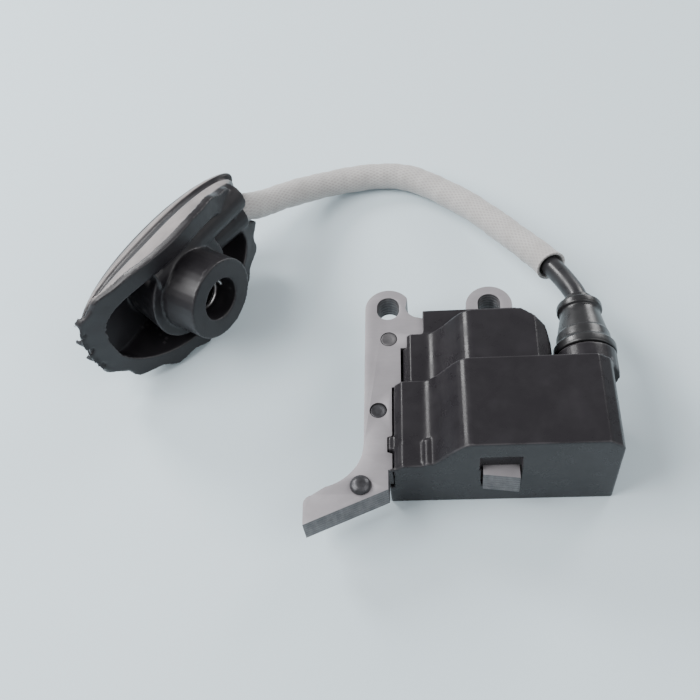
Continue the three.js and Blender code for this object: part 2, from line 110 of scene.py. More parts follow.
def link(name: str, mesh: bpy.types.Mesh | bpy.types.Curve) -> bpy.types.Object:
    """Puts a mesh into the scene as an object at the origin.

    Args:
        name: name of the object.
        mesh: its mesh, or a curve.

    Returns:
        The object.
    """
    made = bpy.data.objects.new(name, mesh)
    bpy.context.scene.collection.objects.link(made)
    return made


def tidy_mesh(mesh: bpy.types.Mesh, merge: float = 1e-7) -> None:
    """Merges doubled points, turns every face outward and shades the mesh smooth.

    Args:
        mesh: the mesh to change.
        merge: points closer than this, in metres, become one.
    """
    work = bmesh.new()
    work.from_mesh(mesh)
    bmesh.ops.remove_doubles(work, verts=work.verts, dist=merge)
    bmesh.ops.recalc_face_normals(work, faces=work.faces)
    work.to_mesh(mesh)
    work.free()
    mesh.shade_smooth()


class Ends(Enum):
    """How the first and last rows of a grid are closed."""

    POLES = "a point in the middle of each end row"
    LOOP = "the last row joins the first"


def grid_object(name: str, grid: np.ndarray, ends: Ends) -> bpy.types.Object:
    """Makes a closed object from a grid whose rows are rings.

    Point (row, column) joins (row, column + 1) and (row + 1, column), and the last column joins
    the first. With POLES each end row also joins its own mean point.

    Args:
        name: name of the object.
        grid: array of shape (rows, columns, 3), in metres.
        ends: how the end rows are closed.

    Returns:
        The new object, with a UV map of columns round and rows along.
    """
    rows, columns = grid.shape[:2]
    steps = rows if ends is Ends.LOOP else rows - 1
    row = np.arange(steps)[:, None]
    column = np.arange(columns)[None, :]
    near, far = row * columns, ((row + 1) % rows) * columns
    right = (column + 1) % columns
    quads = np.stack([near + column, near + right, far + right, far + column], -1)
    faces = quads.reshape(-1, 4).tolist()
    points = grid.reshape(-1, 3)
    if ends is Ends.POLES:
        first, last = len(points), len(points) + 1
        points = np.vstack([points, grid[0].mean(0), grid[-1].mean(0)])
        ring = np.arange(columns)
        following = (ring + 1) % columns
        top = (rows - 1) * columns
        faces += np.stack([following, ring, np.full(columns, first)], -1).tolist()
        faces += np.stack([top + ring, top + following, np.full(columns, last)], -1).tolist()
    mesh = bpy.data.meshes.new(name)
    mesh.from_pydata(points.tolist(), [], faces)
    around = np.stack([column, column + 1, column + 1, column], -1) / columns + 0.0 * row[..., None]
    along = np.stack([row, row, row + 1, row + 1], -1) / rows + 0.0 * column[..., None]
    uv = np.zeros((len(mesh.loops), 2), np.float32)
    uv[: steps * columns * 4] = np.stack([around, along], -1).reshape(-1, 2)
    mesh.uv_layers.new(name="UVMap").data.foreach_set("uv", uv.ravel())
    tidy_mesh(mesh)
    return link(name, mesh)


def turned(
    name: str, profile: np.ndarray, centre: np.ndarray, axes: np.ndarray, sides: int = 72
) -> bpy.types.Object:
    """Turns a profile about an axis: centre + r cos(t) first + r sin(t) second + h third.

    Args:
        name: name of the object.
        profile: points of radius r and height h, in millimetres; it closes on itself.
        centre: a point on the axis, in layout millimetres.
        axes: three unit vectors, the third along the axis.
        sides: how many points go round.

    Returns:
        The turned object.
    """
    angle = np.linspace(0.0, 2.0 * math.pi, sides, endpoint=False)
    across = np.cos(angle)[:, None] * axes[0] + np.sin(angle)[:, None] * axes[1]
    radius, height = profile[:, 0], profile[:, 1]
    grid = centre + radius[:, None, None] * across[None] + height[:, None, None] * axes[2]
    ends = Ends.LOOP if radius[0] > 0.01 else Ends.POLES
    return grid_object(name, placed(grid), ends)


def rounded(profile: list[Span], radius: float, steps: int = 5) -> np.ndarray:
    """Rounds a profile's corners with quadratic curves that start radius away from each corner.

    Args:
        profile: corner points; the first and last stay sharp.
        radius: distance from a corner to where its curve starts, in millimetres.
        steps: points on each curve.

    Returns:
        The rounded profile as an array of points.
    """
    corners = np.asarray(profile, float)
    before, middle, after = corners[:-2], corners[1:-1], corners[2:]
    back, on = before - middle, after - middle
    reach_back = np.minimum(radius / np.linalg.norm(back, axis=1), CURVE_SHARE)[:, None]
    reach_on = np.minimum(radius / np.linalg.norm(on, axis=1), CURVE_SHARE)[:, None]
    start, end = middle + back * reach_back, middle + on * reach_on
    share = np.linspace(0.0, 1.0, steps)[None, :, None]
    curve = (
        (1 - share) ** 2 * start[:, None]
        + 2 * share * (1 - share) * middle[:, None]
        + share**2 * end[:, None]
    )
    return np.vstack([corners[:1], curve.reshape(-1, 2), corners[-1:]])


def arc(centre: Span, radii: Span, span: Span, count: int) -> np.ndarray:
    """Works out points on an ellipse's arc: centre + (rx cos t, ry sin t).

    Args:
        centre: the ellipse's middle, in millimetres.
        radii: rx and ry.
        span: t at the first and the last point, in degrees.
        count: how many points.

    Returns:
        The points, two numbers each.
    """
    angle = np.radians(np.linspace(span[0], span[1], count))
    return np.stack([centre[0] + radii[0] * np.cos(angle), centre[1] + radii[1] * np.sin(angle)], -1)


def plate(
    name: str, loops: list[np.ndarray], low: float, high: float, edge: float
) -> bpy.types.Object:
    """Fills plan outlines into a flat plate with a softened edge.

    Args:
        name: name of the object.
        loops: the outline and then its holes, in layout millimetres.
        low: height of the plate's underside, in millimetres.
        high: height of its top.
        edge: width of the softened edge.

    Returns:
        The plate.
    """
    outline = bpy.data.curves.new(name, "CURVE")
    outline.dimensions = "2D"
    outline.fill_mode = "BOTH"
    outline.extrude = (high - low) / 2 * MM - edge * MM
    outline.bevel_depth = edge * MM
    outline.bevel_resolution = 1
    outline.offset = -edge * MM
    for loop in loops:
        spline = outline.splines.new("POLY")
        spline.points.add(len(loop) - 1)
        flat = placed(np.column_stack([loop, np.zeros(len(loop))]))
        spline.points.foreach_set("co", np.column_stack([flat, np.ones(len(flat))]).ravel())
        spline.use_cyclic_u = True
    holder = link(name + "_outline", outline)
    mesh = bpy.data.meshes.new_from_object(holder)
    bpy.data.objects.remove(holder)
    mesh.name = name
    mesh.transform(Matrix.Translation((0.0, 0.0, (low + high) / 2 * MM)))
    tidy_mesh(mesh)
    made = link(name, mesh)
    sharpen(made, 35.0)
    return made


def sharpen(piece: bpy.types.Object, degrees: float) -> None:
    """Keeps edges sharper than that many degrees crisp in the shading."""
    piece.data.set_sharp_from_angle(angle=math.radians(degrees))


def moulded(name: str, node: str, voxel: float, passes: int) -> bpy.types.Object:
    """Makes one moulded skin from a copy of a CAD node.

    The copy's points are merged, it is resampled on a grid of cubes of one size, and each point
    is moved towards the mean of its neighbours, which rounds every edge and corner alike.

    Args:
        name: name of the object.
        node: the CAD node.
        voxel: size of the cubes in millimetres.
        passes: how many times the points are averaged.

    Returns:
        The skin.
    """
    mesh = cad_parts[node].data.copy()
    tidy_mesh(mesh, 1e-6)
    holder = link(name + "_rough", mesh)
    skin = holder.modifiers.new("skin", "REMESH")
    skin.mode = "VOXEL"
    skin.voxel_size = voxel * MM
    soften = holder.modifiers.new("soften", "SMOOTH")
    soften.factor = 0.5
    soften.iterations = passes
    depsgraph = bpy.context.evaluated_depsgraph_get()
    result = bpy.data.meshes.new_from_object(holder.evaluated_get(depsgraph))
    bpy.data.objects.remove(holder)
    result.name = name
    result.materials.clear()
    result.shade_smooth()
    return link(name, result)


def points_of(piece: bpy.types.Object) -> np.ndarray:
    """Reads a piece's points.

    Args:
        piece: the object.

    Returns:
        Its points in layout millimetres, as an array of shape (count, 3).
    """
    flat = np.zeros(len(piece.data.vertices) * 3)
    piece.data.vertices.foreach_get("co", flat)
    return flat.reshape(-1, 3) / MM + DATUM


def set_points(piece: bpy.types.Object, points: np.ndarray) -> None:
    """Puts layout points back into a piece's mesh."""
    piece.data.vertices.foreach_set("co", placed(points).ravel())
    piece.data.update()


def normals_of(piece: bpy.types.Object) -> np.ndarray:
    """Reads the outward direction at each of a piece's points.

    Args:
        piece: the object.

    Returns:
        Unit vectors, as an array of shape (count, 3).
    """
    flat = np.zeros(len(piece.data.vertices) * 3, np.float32)
    piece.data.vertex_normals.foreach_get("vector", flat)
    return flat.reshape(-1, 3).astype(float)


def mark(piece: bpy.types.Object, name: str, values: np.ndarray) -> None:
    """Stores one number for each point of a piece, for its finish to read."""
    attribute = piece.data.attributes.new(name, "FLOAT", "POINT")
    attribute.data.foreach_set("value", values.astype(np.float32))


# ---------------------------------------------------------------- finishes
Colour = tuple[float, float, float]
Feed = bpy.types.NodeSocket | float | Colour


class MixSocket(Enum):
    """Places of a colour mix node's inputs and of its result."""

    SHARE = 0
    FIRST = 6
    SECOND = 7
    RESULT = 2


class Bench:
    """One material's nodes: a principled shader and what feeds it."""

    def __init__(self, name: str) -> None:
        """Starts an empty material.

        Args:
            name: name of the material.
        """
        self.material = bpy.data.materials.new(name)
        self.material.use_nodes = True
        self.tree = self.material.node_tree
        self.shader = self.tree.nodes["Principled BSDF"]
        self.where = self.tree.nodes.new("ShaderNodeTexCoord")

    def add(self, kind: str, **inputs: Feed) -> bpy.types.Node:
        """Adds a node and sets or links its inputs, spaces in their names written as underscores.

        Args:
            kind: the node's type without its ShaderNode prefix.
            inputs: values or output sockets by input name.

        Returns:
            The node.
        """
        made = self.tree.nodes.new("ShaderNode" + kind)
        for name, value in inputs.items():
            self.feed(made.inputs[name.replace("_", " ")], value)
        return made

    def feed(self, socket: bpy.types.NodeSocket, value: Feed) -> None:
        """Links an output into a socket, or sets the socket to a plain value.

        Args:
            socket: the input to fill.
            value: an output, a number or a colour.
        """
        if isinstance(value, bpy.types.NodeSocket):
            self.tree.links.new(value, socket)
        elif isinstance(value, tuple) and socket.type == "RGBA":
            socket.default_value = (*value, 1.0)
        else:
            socket.default_value = value

    def stretched(self, scale: Point) -> bpy.types.NodeSocket:
        """Scales the object's coordinates.

        Args:
            scale: the factor along each axis.

        Returns:
            The scaled coordinates.
        """
        made = self.add("Mapping", Vector=self.where.outputs["Object"])
        made.inputs["Scale"].default_value = scale
        return made.outputs["Vector"]

    def noise(
        self, size: float, detail: float = 4.0, vector: bpy.types.NodeSocket | None = None
    ) -> bpy.types.NodeSocket:
        """Makes cloud noise.

        Args:
            size: width of its lumps in millimetres.
            detail: how many finer layers it has.
            vector: where it is read, or none for the object's own coordinates.

        Returns:
            The noise, from 0 to 1.
        """
        source = self.where.outputs["Object"] if vector is None else vector
        made = self.add("TexNoise", Vector=source, Scale=PER_METRE / size, Detail=detail)
        return made.outputs["Fac"]

    def spread(
        self, value: Feed, low: float, high: float, to: Span = (0, 1)
    ) -> bpy.types.NodeSocket:
        """Maps a value's range onto another range, and holds it within that.

        Args:
            value: the value.
            low: the value that becomes the range's start.
            high: the value that becomes its end.
            to: the range's start and end.

        Returns:
            The mapped value.
        """
        made = self.add("MapRange", Value=value)
        made.inputs["From Min"].default_value = low
        made.inputs["From Max"].default_value = high
        made.inputs["To Min"].default_value = to[0]
        made.inputs["To Max"].default_value = to[1]
        return made.outputs["Result"]

    def blend(self, share: Feed, first: Feed, second: Feed) -> bpy.types.NodeSocket:
        """Mixes two colours.

        Args:
            share: 0 for all of the first, 1 for all of the second.
            first: the first colour.
            second: the second colour.

        Returns:
            The mixed colour.
        """
        made = self.tree.nodes.new("ShaderNodeMix")
        made.data_type = "RGBA"
        self.feed(made.inputs[MixSocket.SHARE.value], share)
        self.feed(made.inputs[MixSocket.FIRST.value], first)
        self.feed(made.inputs[MixSocket.SECOND.value], second)
        return made.outputs[MixSocket.RESULT.value]

    def combine(self, operation: str, first: Feed, second: Feed) -> bpy.types.NodeSocket:
        """Works out one value from two.

        Args:
            operation: MULTIPLY, MAXIMUM or another operation of a maths node.
            first: the first value.
            second: the second value.

        Returns:
            The result.
        """
        made = self.tree.nodes.new("ShaderNodeMath")
        made.operation = operation
        self.feed(made.inputs[0], first)
        self.feed(made.inputs[1], second)
        return made.outputs[0]

    def relief(self, layers: list[tuple[bpy.types.NodeSocket, float]]) -> None:
        """Raises the shaded surface by each layer in turn.

        Args:
            layers: a height from 0 to 1 and its depth in millimetres, for each layer.
        """
        below = None
        for height, depth in layers:
            made = self.add("Bump", Height=height, Distance=depth * MM, Strength=1.0)
            if below is not None:
                self.feed(made.inputs["Normal"], below)
            below = made.outputs["Normal"]
        self.feed(self.shader.inputs["Normal"], below)

    def finish(self, **inputs: Feed) -> bpy.types.Material:
        """Feeds the shader's own inputs.

        Args:
            inputs: values or output sockets by input name, spaces written as underscores.

        Returns:
            The material.
        """
        for name, value in inputs.items():
            self.feed(self.shader.inputs[name.replace("_", " ")], value)
        return self.material


@dataclass(frozen=True)
class GroundSteel:
    """Flat-ground core steel: pale faces with a fine cross grain, and side faces darker, partly the sheared
    edges' own tone and partly painted shade.
    """

    name: str
    face: Colour = (0.27, 0.256, 0.272)
    stain: Colour = (0.205, 0.194, 0.206)
    edge: Colour = (0.075, 0.075, 0.08)
    sheared_and_shaded: Colour = (0.13, 0.125, 0.13)

    def material(self) -> bpy.types.Material:
        """Makes the finish.

        Returns:
            Its material.
        """
        bench = Bench(self.name)
        grain = bench.noise(0.35, 6.0, bench.stretched((0.12, 1.0, 1.0)))
        cloud = bench.noise(9.0, 5.0)
        sheared_and_shaded = bench.noise(1.1, 4.0, bench.stretched((1.0, 1.0, 0.3)))
        face = bench.blend(bench.spread(cloud, 0.4, 0.72), self.face, self.stain)
        face = bench.blend(bench.spread(grain, 0.3, 0.75, (0.0, 0.25)), face, self.stain)
        # faces that turn from up to the side take the darker edge colours: the sheared edges' own tone plus
        # painted shade
        facing = bench.add("SeparateXYZ", Vector=bench.where.outputs["Normal"]).outputs["Z"]
        side = bench.spread(facing, 0.75, 0.35)
        rim = bench.blend(bench.spread(sheared_and_shaded, 0.35, 0.7), self.edge, self.sheared_and_shaded)
        bench.relief([(grain, 0.005), (cloud, 0.015)])
        rough = bench.spread(cloud, 0.3, 0.7, (0.42, 0.55))
        return bench.finish(Base_Color=bench.blend(side, face, rim), Roughness=rough, Metallic=0.35)


@dataclass(frozen=True)
class Moulded:
    """Moulded plastic or rubber: fine grain and faint dust; convex edges paler as rubbed wear with painted
    highlight, and marked bands paler as painted sheen with rubbed streaks.
    """

    name: str
    colour: Colour
    dust: Colour
    roughness: Span = (0.36, 0.5)
    grain: float = 0.22
    depth: float = 0.012
    wear_and_highlight: Colour | None = None
    worn_and_sheen: Colour | None = None
    speck: float = 0.35
    gloss: float = 0.34

    def material(self) -> bpy.types.Material:
        """Makes the finish.

        Returns:
            Its material.
        """
        bench = Bench(self.name)
        fine = bench.noise(self.grain, 3.0)
        cloud = bench.noise(7.0, 6.0)
        slow = bench.noise(22.0, 2.0)
        colour = bench.blend(bench.spread(cloud, 0.42, 0.8, (0.0, self.speck)), self.colour, self.dust)
        if self.wear_and_highlight is not None:
            # convex edges take the paler colour: rubbed wear together with painted highlight
            ridge = bench.tree.nodes.new("ShaderNodeNewGeometry").outputs["Pointiness"]
            patches = bench.spread(cloud, 0.3, 0.6, (0.3, 1.0))
            rubbed_and_lit = bench.combine("MULTIPLY", bench.spread(ridge, 0.515, 0.58), patches)
            colour = bench.blend(rubbed_and_lit, colour, self.wear_and_highlight)
        if self.worn_and_sheen is not None:
            # bands marked on the mesh take a pale colour: painted sheen on the upward-facing wall, with
            # rubbed streaks
            band = bench.tree.nodes.new("ShaderNodeAttribute")
            band.attribute_name = "worn_and_sheen"
            streak = bench.noise(3.0, 5.0, bench.stretched((0.6, 0.35, 1.0)))
            streaks = bench.spread(streak, 0.25, 0.7, (0.55, 1.0))
            share = bench.combine("MULTIPLY", band.outputs["Fac"], streaks)
            colour = bench.blend(share, colour, self.worn_and_sheen)
        bench.relief([(fine, self.depth), (cloud, self.depth * 3), (slow, self.depth * 12)])
        rough = bench.spread(bench.noise(3.5, 5.0), 0.3, 0.7, self.roughness)
        return bench.finish(Base_Color=colour, Roughness=rough, Specular_IOR_Level=self.gloss)


@dataclass(frozen=True)
class DrawnMetal:
    """Wire, rivets and contacts: one metal with tarnish in patches."""

    name: str
    colour: Colour
    tarnish: Colour
    roughness: Span = (0.28, 0.45)
    metallic: float = 1.0

    def material(self) -> bpy.types.Material:
        """Makes the finish.

        Returns:
            Its material.
        """
        bench = Bench(self.name)
        cloud = bench.noise(1.6, 5.0)
        fine = bench.noise(0.18, 3.0)
        colour = bench.blend(bench.spread(cloud, 0.4, 0.7), self.colour, self.tarnish)
        bench.relief([(fine, 0.008), (cloud, 0.02)])
        rough = bench.spread(fine, 0.3, 0.7, self.roughness)
        return bench.finish(Base_Color=colour, Roughness=rough, Metallic=self.metallic)


@dataclass(frozen=True)
class Wound:
    """Enamelled wire wound in close turns along the core's leg."""

    name: str
    colour: Colour = (0.48, 0.20, 0.08)
    shade: Colour = (0.14, 0.05, 0.02)
    turn: float = 0.35

    def material(self) -> bpy.types.Material:
        """Makes the finish.

        Returns:
            Its material.
        """
        bench = Bench(self.name)
        rows = bench.tree.nodes.new("ShaderNodeTexWave")
        rows.bands_direction = "Y"
        bench.feed(rows.inputs["Vector"], bench.where.outputs["Object"])
        rows.inputs["Scale"].default_value = PER_METRE / (self.turn * 6.0)
        rows.inputs["Distortion"].default_value = 0.3
        height = rows.outputs["Fac"]
        bench.relief([(height, 0.08)])
        colour = bench.blend(bench.spread(height, 0.0, 0.6), self.shade, self.colour)
        rough = bench.spread(bench.noise(1.0), 0.3, 0.7, (0.25, 0.4))
        return bench.finish(Base_Color=colour, Roughness=rough, Metallic=0.9)


@dataclass(frozen=True)
class Braid:
    """Varnished glass-fibre braid: two families of yarns that cross on the piece's UV map."""

    name: str
    yarn: Colour = (0.40, 0.388, 0.38)
    gap: Colour = (0.30, 0.288, 0.28)
    soil: Colour = (0.27, 0.256, 0.245)
    around: float = 48.0
    along: float = 230.0
    wave_scale: float = 0.3142  # a 20th of a turn: one wave in one unit of the texture

    def family(self, bench: Bench, lean: float) -> bpy.types.NodeSocket:
        """Makes one family's height, a sine of the turn plus lean times the way along.

        Args:
            bench: the material's nodes.
            lean: 1 for yarns that rise one way round, -1 for the other.

        Returns:
            The height, from 0 to 1.
        """
        place = bench.add("Mapping", Vector=bench.where.outputs["UV"])
        place.inputs["Scale"].default_value = (self.around, lean * self.along, 0.0)
        wave = bench.tree.nodes.new("ShaderNodeTexWave")
        wave.bands_direction = "DIAGONAL"
        bench.feed(wave.inputs["Vector"], place.outputs["Vector"])
        wave.inputs["Scale"].default_value = self.wave_scale
        wave.inputs["Distortion"].default_value = 0.25
        return wave.outputs["Fac"]

    def material(self) -> bpy.types.Material:
        """Makes the finish.

        Returns:
            Its material.
        """
        bench = Bench(self.name)
        weave = bench.combine("MAXIMUM", self.family(bench, 1.0), self.family(bench, -1.0))
        fuzz = bench.noise(0.3, 6.0)
        cloud = bench.noise(6.0, 5.0)
        colour = bench.blend(bench.spread(weave, 0.45, 0.95), self.gap, self.yarn)
        colour = bench.blend(bench.spread(cloud, 0.45, 0.8, (0.0, 0.6)), colour, self.soil)
        bench.relief([(weave, 0.05), (fuzz, 0.04), (cloud, 0.12)])
        rough = bench.spread(fuzz, 0.3, 0.7, (0.62, 0.85))
        return bench.finish(Base_Color=colour, Roughness=rough, Sheen_Weight=0.25)


Finish = GroundSteel | Moulded | DrawnMetal | Wound | Braid

STEEL = GroundSteel("core_steel")
DARK_RIVET = DrawnMetal("dark_rivet", (0.055, 0.055, 0.06), (0.03, 0.03, 0.033), (0.3, 0.45), 0.6)
PALE_RIVET = DrawnMetal("pale_rivet", (0.085, 0.082, 0.086), (0.05, 0.049, 0.052), (0.42, 0.55), 0.4)
SHELL = Moulded(
    "housing_black",
    (0.0150, 0.0138, 0.0160),
    (0.028, 0.026, 0.029),
    (0.24, 0.36),
    # paler convex edges: wear together with painted highlight
    wear_and_highlight=(0.085, 0.08, 0.085),
    gloss=0.2,
)
RESIN = Moulded("potting_black", (0.012, 0.011, 0.010), (0.03, 0.028, 0.026), (0.12, 0.28), 1.2, 0.01)
NYLON = Moulded("bobbin_natural", (0.60, 0.55, 0.43), (0.45, 0.40, 0.30), (0.4, 0.55))
BOARD = Moulded("board_green", (0.05, 0.14, 0.06), (0.09, 0.18, 0.09), (0.35, 0.5), 0.5)
COMPONENT = Moulded("component_black", (0.012, 0.012, 0.013), (0.04, 0.04, 0.04), (0.45, 0.6))
CERAMIC = Moulded("resistor_tan", (0.45, 0.30, 0.14), (0.35, 0.22, 0.10), (0.3, 0.45))
FILM = Moulded("capacitor_red", (0.22, 0.035, 0.02), (0.12, 0.02, 0.012), (0.15, 0.3))
WIRE = Wound("magnet_wire")
STRAND = DrawnMetal("lead_strand", (0.62, 0.30, 0.16), (0.35, 0.16, 0.08))
BRASS = DrawnMetal("contact_brass", (0.60, 0.44, 0.16), (0.32, 0.22, 0.08))
SPRING = DrawnMetal("spring_wire", (0.42, 0.41, 0.41), (0.22, 0.21, 0.21))
BOOT = Moulded(
    "boot_rubber",
    (0.012, 0.012, 0.013),
    (0.035, 0.034, 0.035),
    (0.24, 0.38),
    0.3,
    0.012,
    gloss=0.45,
)
CAP = Moulded(
    "cap_rubber",
    (0.011, 0.010, 0.012),
    (0.028, 0.026, 0.028),
    (0.32, 0.48),
    0.3,
    0.014,
    # paler convex edges: wear together with painted highlight
    wear_and_highlight=(0.05, 0.047, 0.05),
    # pale bands on the upper wall: painted sheen with rubbed streaks
    worn_and_sheen=(0.25, 0.225, 0.22),
)
JACKET = Moulded("lead_black", (0.014, 0.014, 0.016), (0.05, 0.05, 0.052), (0.25, 0.4), 0.5, 0.008)
SLEEVE = Braid("sleeve_braid")

MADE: dict[str, bpy.types.Material] = {}  # each finish's material, made once


def dress(piece: bpy.types.Object, finish: Finish) -> None:
    """Gives a piece its finish, in place of any material that it has.

    Args:
        piece: the object.
        finish: its finish.
    """
    if finish.name not in MADE:
        MADE[finish.name] = finish.material()
    piece.data.materials.clear()
    piece.data.materials.append(MADE[finish.name])


def settle(piece: bpy.types.Object, finish: Finish, slot: str, *nodes: str) -> bpy.types.Object:
    """Dresses a piece, puts it on the body and lets it stand for CAD nodes.

    Args:
        piece: the object.
        finish: its finish.
        slot: the record's material slot; not used.
        nodes: the CAD nodes that it stands for.

    Returns:
        The same object.
    """
    dress(piece, finish)
    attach(piece, BODY)
    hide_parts(*nodes)
    LOG.info("%s: %d faces, for %s", piece.name, len(piece.data.polygons), ", ".join(nodes))
    return piece


# ---------------------------------------------------------------- studio
@dataclass
class Studio:
    """Camera, floor and soft lights."""

    target: Point = (-27.40, 23.52, 0.0)
    azimuth: float = -9.01
    elevation: float = 55.86
    roll: float = -9.58
    distance: float = 247.9
    lens: float = 49.8
    sensor: float = 36.0
    nearest: float = 10.0
    floor_reach: float = 3000.0
    floor_colour: Colour = (0.56, 0.66, 0.71)
    sky_colour: Colour = (0.97, 0.98, 1.0)
    sky_strength: float = 0.42
    lamps: list[tuple[str, Point, float, float]] = field(
        default_factory=lambda: [
            ("key", (-430.0, -40.0, 470.0), 420.0, 6.0),
            ("streak", (-420.0, 390.0, 350.0), 170.0, 3.0),
            ("fill", (420.0, -200.0, 420.0), 500.0, 2.0),
            ("rim", (330.0, 420.0, 240.0), 220.0, 1.5),
        ]
    )

    def camera(self) -> None:
        """Places the camera by azimuth, elevation, roll and distance from its target."""
        turn, rise, roll = (math.radians(v) for v in (self.azimuth, self.elevation, self.roll))
        level_share = math.cos(rise)
        ahead = Vector((math.sin(turn) * level_share, math.cos(turn) * level_share, -math.sin(rise)))
        level = Vector((math.cos(turn), -math.sin(turn), 0.0))
        right = level * math.cos(roll) + level.cross(ahead) * math.sin(roll)
        up = right.cross(ahead)
        lens = bpy.data.cameras.new("camera")
        lens.lens = self.lens
        lens.sensor_width = self.sensor
        lens.clip_start = self.nearest * MM
        made = bpy.data.objects.new("camera", lens)
        axes = Matrix((right, up, -ahead)).transposed()
        eye = Vector(self.target) * MM - ahead * self.distance * MM
        made.matrix_world = Matrix.Translation(eye) @ axes.to_4x4()
        bpy.context.scene.collection.objects.link(made)
        bpy.context.scene.camera = made

    def floor(self) -> None:
        """Lays a plain pale floor at the height that the housing lies on."""
        reach = self.floor_reach * MM
        mesh = bpy.data.meshes.new("floor")
        corners = [(-reach, -reach, 0), (reach, -reach, 0), (reach, reach, 0), (-reach, reach, 0)]
        mesh.from_pydata(corners, [], [(0, 1, 2, 3)])
        made = link("floor", mesh)
        bench = Bench("floor_paint")
        made.data.materials.append(bench.finish(Base_Color=self.floor_colour, Roughness=0.9))

    def lights(self) -> None:
        """Hangs each lamp, aimed at the camera's target, and sets a soft sky."""
        for name, place, size, watts in self.lamps:
            lamp = bpy.data.lights.new(name, "AREA")
            lamp.size = size * MM
            lamp.energy = watts
            made = bpy.data.objects.new(name, lamp)
            aim = (Vector(place) - Vector(self.target)).to_track_quat("Z", "Y").to_matrix().to_4x4()
            made.matrix_world = Matrix.Translation(Vector(place) * MM) @ aim
            bpy.context.scene.collection.objects.link(made)
        world = bpy.data.worlds.new("sky")
        world.use_nodes = True
        sky = world.node_tree.nodes["Background"]
        sky.inputs["Color"].default_value = (*self.sky_colour, 1.0)
        sky.inputs["Strength"].default_value = self.sky_strength
        bpy.context.scene.world = world

    def build(self) -> None:
        """Makes the camera, the floor and the lights."""
        self.camera()
        self.floor()
        self.lights()


# ---------------------------------------------------------------- plug cap's frame
@dataclass
class CapFrame:
    """The cap's own axes: u along its length, w across it, a out of the plug bore."""

    heading: float = 58.3
    tilt: float = 6.0
    origin: Point = (-34.7, 49.5, 19.7)

    def axes(self) -> np.ndarray:
        """Works out the cap's axes.

        Returns:
            The unit vectors of u, w and a, as rows.
        """
        turn, look = math.radians(self.heading), math.radians(self.tilt)
        level = math.cos(look)
        along = np.array([math.cos(turn), math.sin(turn), 0.0])
        out = np.array([math.sin(turn) * level, -math.cos(turn) * level, math.sin(look)])
        return np.array([along, np.cross(out, along), out])

    def at(self, points: np.ndarray) -> np.ndarray:
        """Returns points of the cap's frame in the layout."""
        return np.asarray(points, float) @ self.axes() + np.array(self.origin)

    def inside(self, points: np.ndarray) -> np.ndarray:
        """Returns layout points in the cap's frame."""
        return (points - np.array(self.origin)) @ self.axes().T


